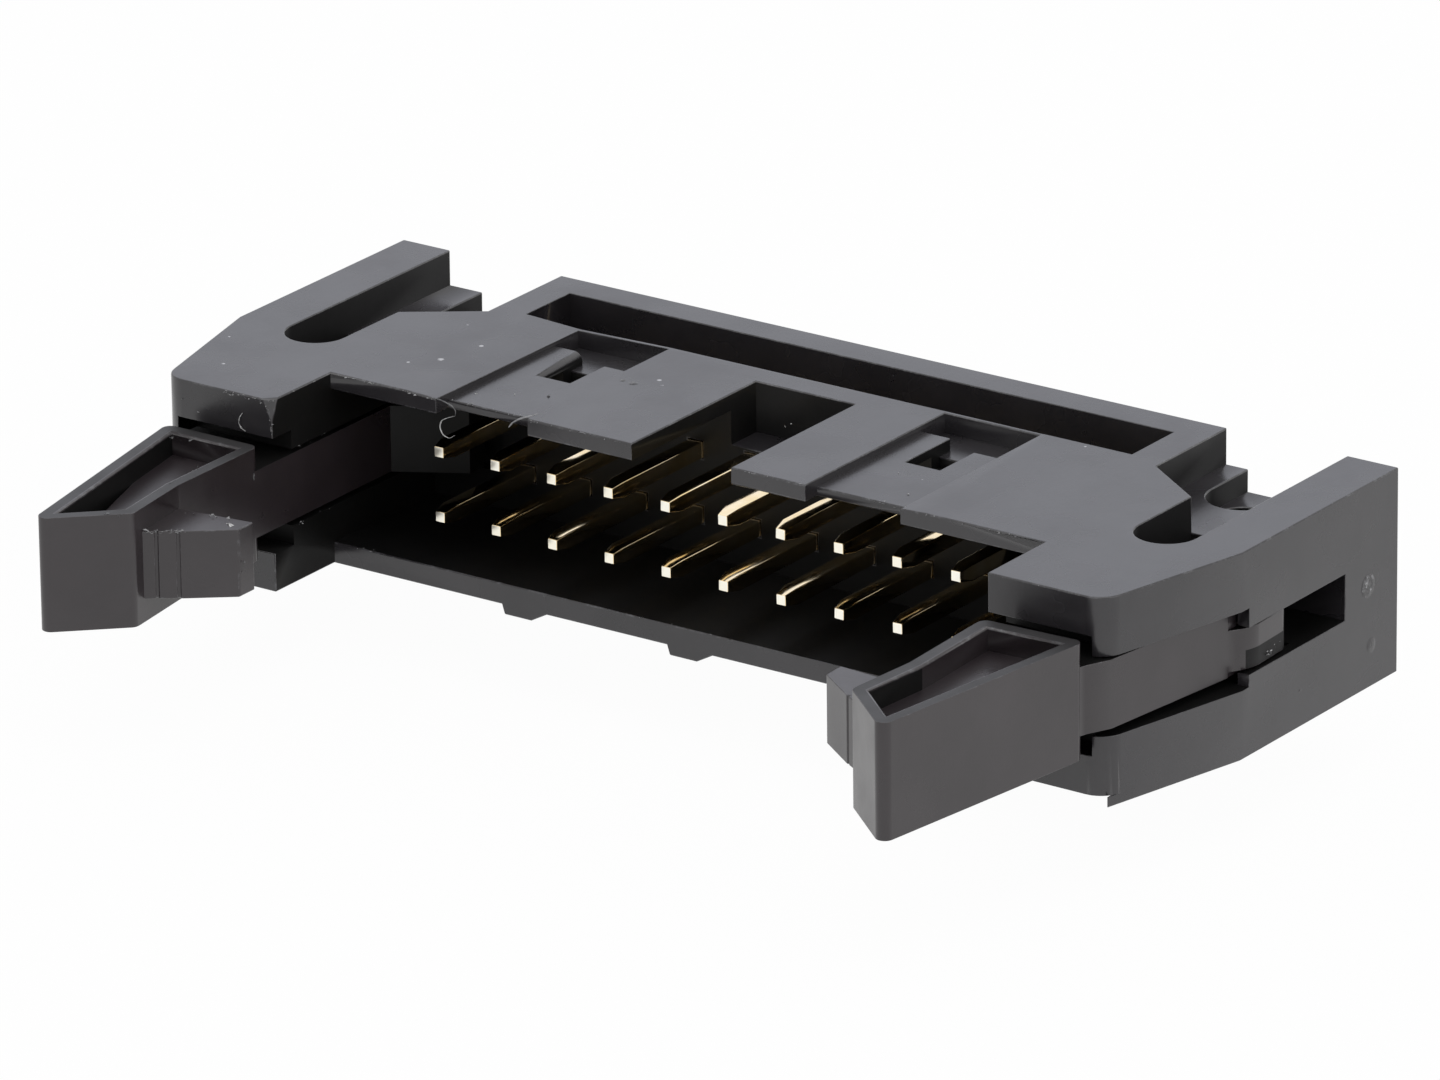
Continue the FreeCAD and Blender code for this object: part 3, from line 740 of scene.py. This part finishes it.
def makeLatch(side, word):
    latch = mergedCopy(f"latch_{word}", f"latchShell{word.capitalize()}")
    look, boxes = latchLook, latchLook["boxes"]

    def isLugEdge(a, b):
        # an upright edge of the face that shows in the window
        x, y, z = latchOwn(side, np.array([a, b]))
        onFace = (abs(x - look["lugFace"]) < 0.03).all()
        return bool(onFace and (abs(y[0] - y[1]) < 0.02) and (abs(z[0] - z[1]) > 0.5))

    def widths(middle, along):
        x, y, z = latchOwn(side, middle)
        width = np.full(len(middle), look["armEdge"])
        width[within(x, y, np.abs(z), boxes["head"])] = look["headEdge"]
        width[within(x, y, np.abs(z), boxes["hook"])] = look["hookEdge"]
        (startX, startY), span, length = rampLine()
        gap = (x - startX) * span[1] - (y - startY) * span[0]
        run = ((x - startX) * span[0] + (y - startY) * span[1]) / length
        groove = (np.abs(gap) < 0.15) & (run > 0.0) & (run < 0.97) & (np.abs(along[:, 2]) > 0.9)
        width[groove] = look["grooveEdge"]
        return width

    def kinds(centre, normal):
        # painted shade, in the dark material, in the hollows of the head, on the ejector foot and on what
        # lies inside the pocket; the lug's lower part gets painted shade too
        x, y, z = latchOwn(side, centre)
        hollow = np.any([np.abs(np.abs(z) - level) < slack for level, slack in look["hollowLevels"]], axis=0)
        inside = (hollow & (y < look["hollowFront"])) | ((y > look["lugEnd"]) & (normal[:, 1] > 0.3))
        inside |= within(x, y, z, boxes["foot"]) | within(x, y, z, boxes["barrel"])
        kind = np.where(inside, dark, outside)
        rimTop, lugPaintedShade = 3, 4
        kind[(y < look["rimFront"]) & (z > look["rimLevel"]) & (normal[:, 2] > 0.9)] = rimTop
        kind[within(x, y, z, boxes["lug"]) & (z < look["lugSplit"])] = lugPaintedShade
        return kind

    bevelPicked(latch, isLugEdge, look["lugRound"], look["lugRoundSteps"])
    splitLug(latch, side)
    cutGrooves(latch, side)
    soften(latch, widths, kinds, look["edgeSteps"], look["sharpAngle"],
           (latchPlastic, latchWearHighlight, paintedShadePlastic, latchTop, shadePlastic))
    settle(latch, f"latch_{word}", [f"latch_{word}"])


for side, word in ((-1, "left"), (1, "right")):
    makeLatch(side, word)
print("latches ready")


pinLook = {
    "side": 0.64, "corner": 0.05, "cornerSteps": 4, "tipSide": 0.37, "taper": 0.6,
    "tipEdge": (0.012, 0.03),  # the tip's own small bevel: how far back, and how much wider there
    "tipY": -9.13, "tailZ": -3.0, "bendInside": 0.3, "bendSteps": 10,
    "pitch": 2.54, "columns": 10, "midZ": 4.12,
    "twist": 1.6, "twistRun": 4.0,  # degrees either way, and the length that it comes in over
    "sharpAngle": 34.0, "seed": 40,
}


def pinSection(side, corner):
    # a square with rounded corners, as points round it
    steps = pinLook["cornerSteps"]
    turn = (np.arange(4)[:, None] * 90 + np.linspace(0, 90, steps + 1)[None, :]) * math.pi / 180
    middle = (np.arange(4) * 90 + 45) * math.pi / 180
    reach = (side / 2 - corner) * math.sqrt(2)
    x = reach * np.cos(middle)[:, None] + corner * np.cos(turn)
    y = reach * np.sin(middle)[:, None] + corner * np.sin(turn)
    return np.stack([x.ravel(), y.ravel()], -1)


def makePin(name, x, level, tailY, seed):
    # a rounded square carried along the pin: taper, straight run, quarter bend, straight tail, taper
    p = pinLook
    middle = p["bendInside"] + p["side"] / 2
    turns = np.linspace(0, math.pi / 2, p["bendSteps"])
    bendY, bendZ = tailY - middle, level - middle
    back, wider = p["tipEdge"]
    run = [(p["tipY"], level, 0.0, p["tipSide"]), (p["tipY"] + back, level, 0.0, p["tipSide"] + wider),
           (p["tipY"] + p["taper"], level, 0.0, p["side"])]
    run += [(bendY + middle * math.sin(t), bendZ + middle * math.cos(t), t, p["side"]) for t in turns]
    run += [(tailY, p["tailZ"] + p["taper"], math.pi / 2, p["side"]),
            (tailY, p["tailZ"], math.pi / 2, p["tipSide"])]
    run = np.array(run)
    twist = math.radians(np.random.default_rng(seed).uniform(-p["twist"], p["twist"]))
    comesIn = np.clip((bendY - run[:, 0]) / p["twistRun"], 0, 1)
    share = np.where(run[:, 2] == 0, comesIn, 0.0)[:, None] * twist
    flat = np.stack([pinSection(side, p["corner"] * side / p["side"]) for side in run[:, 3]])
    across = flat[:, :, 0] * np.cos(share) - flat[:, :, 1] * np.sin(share)
    up = flat[:, :, 0] * np.sin(share) + flat[:, :, 1] * np.cos(share)
    y, z, turn = (run[:, i, None] for i in range(3))
    rings = np.stack([x + across, y + up * np.sin(turn), z + up * np.cos(turn)], -1)
    faces = tubeFaces(*rings.shape[:2])
    pin = newMesh(name, rings.reshape(-1, 3), faces, [pinGold, pinTip])
    index = np.zeros(len(faces), np.int32)
    index[-2:] = 1  # the two ends
    pin.data.polygons.foreach_set("material_index", index)
    outwards(pin)
    pin.data.set_sharp_from_angle(angle=math.radians(p["sharpAngle"]))
    return pin


for column in range(pinLook["columns"]):
    x = (column - (pinLook["columns"] - 1) / 2) * pinLook["pitch"]
    for row, sign in (("Upper", 1), ("Lower", -1)):
        tailY = sign * pinLook["pitch"] / 2
        seed = pinLook["seed"] + column * 2 + sign
        pin = makePin(f"pin{row}{column + 1:02d}", x, pinLook["midZ"] + tailY, tailY, seed)
        settle(pin, "housing", [f"pin_{row.lower()}_{column + 1:02d}"])
print("pins ready")


# burrs and dust stay this far inside the CAD box, in millimetres
margin = 0.001
lowCorner, highCorner = np.array(cadBox[0]) / mm + margin, np.array(cadBox[1]) / mm - margin

flashLook = {
    "step": 0.04, "tooth": 0.11, "fewestSteps": 12, "fewestTeeth": 6,
    "teethInGroup": 6, "fewestGroups": 3, "gap": 0.7,  # the share of the wave that stays sunk
    "sunk": 0.07, "root": 0.04, "thin": 0.02, "thicker": 0.25, "tip": 1.6,
}


def makeFlash(name, start, end, out, height, seed, materialName, across=(0, 0, 1), body="housing"):
    # a ragged blade along an edge: a three-cornered profile whose tip rises and falls along the way,
    # and which sinks into the edge between its teeth
    look = flashLook
    start, end, out, across = (np.array(v, float) for v in (start, end, out, across))
    length = np.linalg.norm(end - start)
    count = max(look["fewestSteps"], int(length / look["step"]))
    teeth = max(look["fewestTeeth"], int(length / look["tooth"]))
    t = np.linspace(0, 1, count)[:, None]
    broad = wave(seed + 2, count, max(look["fewestGroups"], teeth // look["teethInGroup"]))
    rise = (np.clip(wave(seed, count, teeth, -look["gap"], 1.0) * broad, 0.0, 1))[:, None] * height
    rise[0] = rise[-1] = 0.0
    spine = start + (end - start) * t - out * look["sunk"]
    sway = wave(seed + 1, count, teeth, -look["gap"], look["gap"])[:, None] * rise * across
    thick = (look["thin"] + look["thicker"] * rise) * across
    root, tip = out * look["root"], out * rise * look["tip"]
    rings = np.stack([spine + thick - root, spine + tip + sway, spine - thick - root], 1)
    rings = np.clip(rings, lowCorner, highCorner)
    faces = tubeFaces(*rings.shape[:2])
    piece = newMesh(name, rings.reshape(-1, 3), faces, [raw[materialName]], smooth=False)
    outwards(piece)
    settle(piece, body)


curlLook = {
    "steps": 30, "sides": 6, "flat": 0.55, "ends": 0.3, "endTurns": (0.15, math.pi - 0.1),
    "lumps": (11, 0.4, 1.4),  # how many, thinnest, thickest
    "wideWay": (0.31, 0.22, 0.92),  # the oval's width lies across this direction
}


def makeCurl(name, path, thick, seed, materialName, body="housing"):
    # a sliver: an oval carried along a path of points, thinning to both ends
    look = curlLook
    path = np.array(path, float)
    count, sides, ends = look["steps"], look["sides"], look["ends"]
    place = np.linspace(0, len(path) - 1, count)
    line = np.stack([np.interp(place, np.arange(len(path)), path[:, i]) for i in range(3)], -1)
    for _ in range(2):
        line[1:-1] = (line[:-2] + 2 * line[1:-1] + line[2:]) / 4
    ahead = np.gradient(line, axis=0)
    ahead /= np.linalg.norm(ahead, axis=1)[:, None]
    side = np.cross(ahead, look["wideWay"])
    side /= np.linalg.norm(side, axis=1)[:, None]
    lift = np.cross(side, ahead)
    girth = thick * (ends + (1 - ends) * np.sin(np.linspace(*look["endTurns"], count)))
    girth = (girth * wave(seed, count, *look["lumps"]))[:, None, None]
    turn = (np.arange(sides) * 2 * math.pi / sides)[None, :, None]
    oval = np.cos(turn) * side[:, None] + look["flat"] * np.sin(turn) * lift[:, None]
    rings = line[:, None] + girth * oval
    piece = newMesh(name, rings.reshape(-1, 3), tubeFaces(count, sides), [raw[materialName]])
    outwards(piece)
    settle(piece, body)


chipLook = {"smallest": 0.35, "skew": 1.5, "spread": 0.5, "flat": 0.5}


def makeChips(name, centres, size, seed, materialName, body="housing"):
    # a small four-cornered flake at every centre: four random points about it, joined face to face
    look = chipLook
    centres = np.asarray(centres, float)
    random = np.random.default_rng(seed)
    reach = size * random.uniform(look["smallest"], 1.0, (len(centres), 1, 1)) ** look["skew"]
    corners = random.normal(0, look["spread"], (len(centres), 4, 3)) * reach
    corners[:, :, 2] *= look["flat"]
    points = centres[:, None] + corners
    points += np.minimum(0.0, highCorner - points.max(1))[:, None]
    points += np.maximum(0.0, lowCorner - points.min(1))[:, None]
    first = np.arange(len(centres))[:, None, None] * 4
    faces = (first + np.array([[0, 1, 2], [0, 3, 1], [1, 3, 2], [2, 3, 0]])[None]).reshape(-1, 3)
    piece = newMesh(name, points.reshape(-1, 3), faces, [raw[materialName]], smooth=False)
    outwards(piece, weld=False)
    settle(piece, body)


def alongLine(start, end, count, seed, spread=0.03):
    # random places along a line: bunched in groups of about six, and every third one anywhere
    random = np.random.default_rng(seed)
    start, end = np.array(start, float), np.array(end, float)
    groups = random.uniform(0, 1, max(3, count // 6))
    t = np.clip(random.choice(groups, count) + random.normal(0, 0.03, count), 0, 1)
    t[::3] = random.uniform(0, 1, len(t[::3]))
    return start + (end - start) * t[:, None] + random.normal(0, spread, (count, 3))


burrLines = {
    "flash": [  # name, start, end, out, height, seed, material, and across where it isn't straight up
        ("flashRoofLeft", (-15.6, roof, top - 0.03), (-11.1, roof, top - 0.08), (0, -1, 0.3),
         0.14, 11, "paleBurr"),
        ("flashRoofMid", (-6.8, roof, top - 0.04), (-2.25, roof, top - 0.04), (0, -1, 0.2),
         0.1, 12, "greyBurr"),
        ("flashRoofRight", (2.25, roof, top - 0.04), (5.4, roof, top - 0.04), (0, -1, 0.2),
         0.1, 13, "greyBurr"),
        ("flashRoofFar", (9.7, roof, top - 0.06), (15.6, roof, top - 0.04), (0, -1, 0.3),
         0.12, 14, "greyBurr"),
        ("flashPanelLeft", (-10.9, -9.13, 7.5), (-6.9, -9.13, 7.5), (0, -1, 0.3), 0.2, 23, "paleBurr"),
        ("flashPanelRight", (5.5, -9.13, 7.5), (9.5, -9.13, 7.5), (0, -1, 0.3), 0.2, 24, "greyBurr"),
        ("flashTowerLeft", (-15.77, tower + 0.02, 7.0), (-15.77, tower + 0.02, 6.4), (0.5, -1, 0), 0.16, 15,
         "paleBurr", (1, 0.3, 0)),
        ("flashWornLeft", (-16.1, tower, 7.82), (-15.78, tower, 7.05), (0.1, -1, 0.1), 0.12, 25,
         "paleBurr", (0.7, 0, 0.4)),
        ("flashTowerTop", (-18.6, tower, 7.76), (-16.1, tower, 7.76), (0, -1, 0.4), 0.17, 16, "paleBurr"),
        ("flashSlotLeft", (-15.75, -12.3, 5.6), (-15.75, -10.6, 5.6), (1, 0, -0.3), 0.08, 17, "greyBurr"),
        ("flashSlotLowLeft", (-15.75, -12.3, 2.62), (-15.75, -10.2, 2.62), (1, 0, 0.3), 0.08, 18, "greyBurr"),
        ("flashFloor", (-15.5, roof, 1.18), (15.5, roof, 1.18), (0, -1, 0.4), 0.08, 20, "greyBurr"),
    ],
    "curls": [  # name, path, thickness, seed, material
        ("curlTower", [(-17.08, -13.49, 7.12), (-17.18, -13.55, 6.95), (-17.2, -13.58, 6.74),
                       (-17.1, -13.56, 6.55), (-16.95, -13.5, 6.44)], 0.045, 31, "whiteCurl"),
        ("flakeRoof", [(-11.0, -9.86, 7.8), (-10.75, -9.92, 7.83), (-10.47, -9.96, 7.8),
                       (-10.15, -9.98, 7.72), (-9.98, -9.98, 7.56), (-10.02, -9.98, 7.34)],
         0.045, 33, "greyBurr"),
        ("curlRoof", [(-10.02, -9.98, 7.36), (-10.32, -10.0, 7.24), (-10.62, -10.02, 7.08),
                      (-10.7, -10.02, 6.8), (-10.58, -10.0, 6.52), (-10.3, -9.98, 6.42),
                      (-10.05, -9.97, 6.6)], 0.026, 32, "whiteCurl"),
        ("filmPanel", [(-6.86, -9.0, 7.82), (-6.98, -9.45, 7.82), (-7.2, -9.8, 7.78), (-7.45, -9.95, 7.62),
                       (-7.62, -9.95, 7.4)], 0.045, 34, "paleBurr"),
    ],
    "chips": [  # start, end, count
        ((-15.6, roof, top - 0.02), (-11.0, roof, top - 0.06), 30),
        ((-10.9, -9.13, 7.56), (-6.9, -9.13, 7.56), 26),
        ((-6.7, roof, top - 0.03), (-2.3, roof, top - 0.03), 14),
        ((2.3, roof, top - 0.03), (5.4, roof, top - 0.03), 10),
        ((5.5, -9.13, 7.56), (9.5, -9.13, 7.56), 18),
        ((9.7, roof, top - 0.03), (15.5, roof, top - 0.03), 18),
        ((-20.0, tower + 0.02, top - 0.04), (-15.8, tower + 0.02, top - 0.04), 24),
        ((-15.78, tower, 7.0), (-15.78, tower, 6.4), 12),
        ((-16.1, tower, 7.8), (-15.8, tower, 7.05), 16),
        ((-17.8, tower - 0.01, top - 0.09), (-16.1, tower - 0.01, top - 0.09), 34),
        ((-15.76, -13.4, top - 0.03), (-15.76, -10.0, top - 0.03), 10),
        ((-15.74, -12.3, 5.62), (-15.74, -10.2, 5.62), 12),
        ((-15.74, -12.3, 2.62), (-15.74, -10.2, 2.62), 8),
        ((15.8, tower + 0.02, top - 0.04), (19.6, tower + 0.02, top - 0.04), 10),
        ((-11.6, -0.85, top - 0.03), (-14.2, -0.85, top - 0.03), 8),
        ((-15.5, roof, 1.19), (15.5, roof, 1.19), 30),
        ((-20.2, tower, 7.3), (-18.4, tower, 6.4), 7),
    ],
    "dust": [(0.29, -3.4, 7.12), (0.12, -3.55, 7.1), (-10.4, -8.1, 7.57), (-9.2, -7.4, 7.57),
             (-8.1, -6.9, 7.57), (7.1, -6.4, 7.57), (8.6, -8.0, 7.57), (-8.52, -3.68, 7.57)],
    "latchChips": [  # latch, name, start, end, count, size, material
        ("left", "hookTop", (-15.6, -19.3, 5.42), (-12.75, -18.75, 5.42), 26, 0.13, "paleBurr"),
        ("left", "hookSpot", (-13.4, -19.3, 5.42), (-13.1, -19.45, 5.4), 7, 0.22, "dust"),
        ("left", "rim", (-19.3, -15.2, 6.32), (-16.35, -15.1, 6.32), 22, 0.11, "greyBurr"),
        ("left", "rimSide", (-16.4, -16.0, 6.32), (-16.2, -19.0, 6.32), 16, 0.1, "greyBurr"),
        ("left", "hookFront", (-15.4, -21.55, 5.4), (-14.2, -20.75, 5.4), 44, 0.14, "paleBurr"),
        ("left", "headFront", (-16.9, -23.15, 6.28), (-15.6, -22.5, 6.28), 14, 0.1, "greyBurr"),
        ("left", "hookSide", (-12.66, -19.5, 5.3), (-12.66, -19.4, 3.2), 9, 0.09, "greyBurr"),
        ("right", "lug", (22.08, -5.6, 3.2), (22.12, -4.3, 3.75), 16, 0.13, "paleBurr"),
    ],
    "latchFlash": [
        ("flashHeadCorner", (-15.8, -14.6, 5.9), (-15.8, -14.6, 3.0), (1, 0.1, 0), 0.07, 61, "greyBurr",
         (0.2, 1, 0)),
        ("flashHook", (-15.4, -21.55, 5.36), (-14.3, -20.85, 5.36), (0.5, -0.8, 0.3), 0.2, 62, "paleBurr"),
    ],
}
for line in burrLines["flash"]:
    makeFlash(*line)
for line in burrLines["curls"]:
    makeCurl(*line)
spots = [alongLine(*line, 70 + i) for i, line in enumerate(burrLines["chips"])]
makeChips("chips", np.concatenate(spots), 0.085, 7, "paleBurr")
makeChips("dust", burrLines["dust"], 0.15, 8, "dust")
for i, (word, name, start, end, count, size, materialName) in enumerate(burrLines["latchChips"]):
    spots = alongLine(start, end, count, 90 + i, 0.04)
    makeChips(f"chips_{word}_{name}", spots, size, 50 + i, materialName, f"latch_{word}")
for line in burrLines["latchFlash"]:
    makeFlash(*line, body="latch_left")
print("burrs ready")


stageLook = {"floorZ": -3.06, "floorSize": 3.0, "paint": (0.93, 0.93, 0.93), "shine": 0.97}


def seenDirectly(tree):
    # 1 for what the camera, a reflection or a clear material sees
    path = tree.nodes.new("ShaderNodeLightPath")
    total = path.outputs["Is Camera Ray"]
    for other in ("Is Glossy Ray", "Is Transmission Ray"):
        total = join(tree, "MAXIMUM", total, path.outputs[other])
    return total


def makeFloor():
    half, z = stageLook["floorSize"] / 2 / mm, stageLook["floorZ"]
    corners = [(-half, -half, z), (half, -half, z), (half, half, z), (-half, half, z)]
    material = bpy.data.materials.new("floorPaint")
    material.use_nodes = True
    tree = material.node_tree
    tree.nodes.clear()
    paint = tree.nodes.new("ShaderNodeBsdfDiffuse")
    paint.inputs["Color"].default_value = (*stageLook["paint"], 1)
    glow = tree.nodes.new("ShaderNodeEmission")
    mix = tree.nodes.new("ShaderNodeMixShader")
    tree.links.new(join(tree, "MULTIPLY", seenDirectly(tree), stageLook["shine"]), mix.inputs[0])
    tree.links.new(paint.outputs[0], mix.inputs[1])
    tree.links.new(glow.outputs[0], mix.inputs[2])
    tree.links.new(mix.outputs[0], tree.nodes.new("ShaderNodeOutputMaterial").inputs["Surface"])
    newMesh("floor", corners, [(0, 1, 2, 3)], [material], smooth=False)


lightLook = {
    "room": 0.6,
    "panels": [  # place in metres, aimed at the object; radiance 1 is white
        {"name": "back", "place": (-0.55, 0.77, 0.5), "size": 0.9, "radiance": 0.12,
         "tint": (0.15, 0.35, 1.1)},
        {"name": "top", "place": (0.2, -0.1, 0.9), "size": 0.6, "radiance": 1.4, "tint": (1, 1, 1)},
        {"name": "right", "place": (1.0, 0.1, 0.5), "size": 0.6, "radiance": 1.5, "tint": (1, 0.98, 0.98)},
    ],
}


def makeLight():
    world = bpy.data.worlds.new("room")
    bpy.context.scene.world = world
    world.use_nodes = True
    tree = world.node_tree
    sky = tree.nodes["Background"]
    sky.inputs["Color"].default_value = (1, 1, 1, 1)
    tree.links.new(mapTo(tree, seenDirectly(tree), lightLook["room"], 1.0), sky.inputs["Strength"])
    for panel in lightLook["panels"]:
        lamp = bpy.data.lights.new(panel["name"], "AREA")
        lamp.size = panel["size"]
        lamp.energy = panel["radiance"] * math.pi * panel["size"] ** 2
        lamp.color = panel["tint"]
        place = np.array(panel["place"])
        back = place / np.linalg.norm(place)
        side = np.cross((0, 0.01, 1), back)
        side /= np.linalg.norm(side)
        placeRig("lamp." + panel["name"], lamp, (side, np.cross(back, side), back, place))


makeFloor()
makeLight()
bpy.context.scene.view_settings.view_transform = "Standard"
print("stage ready")
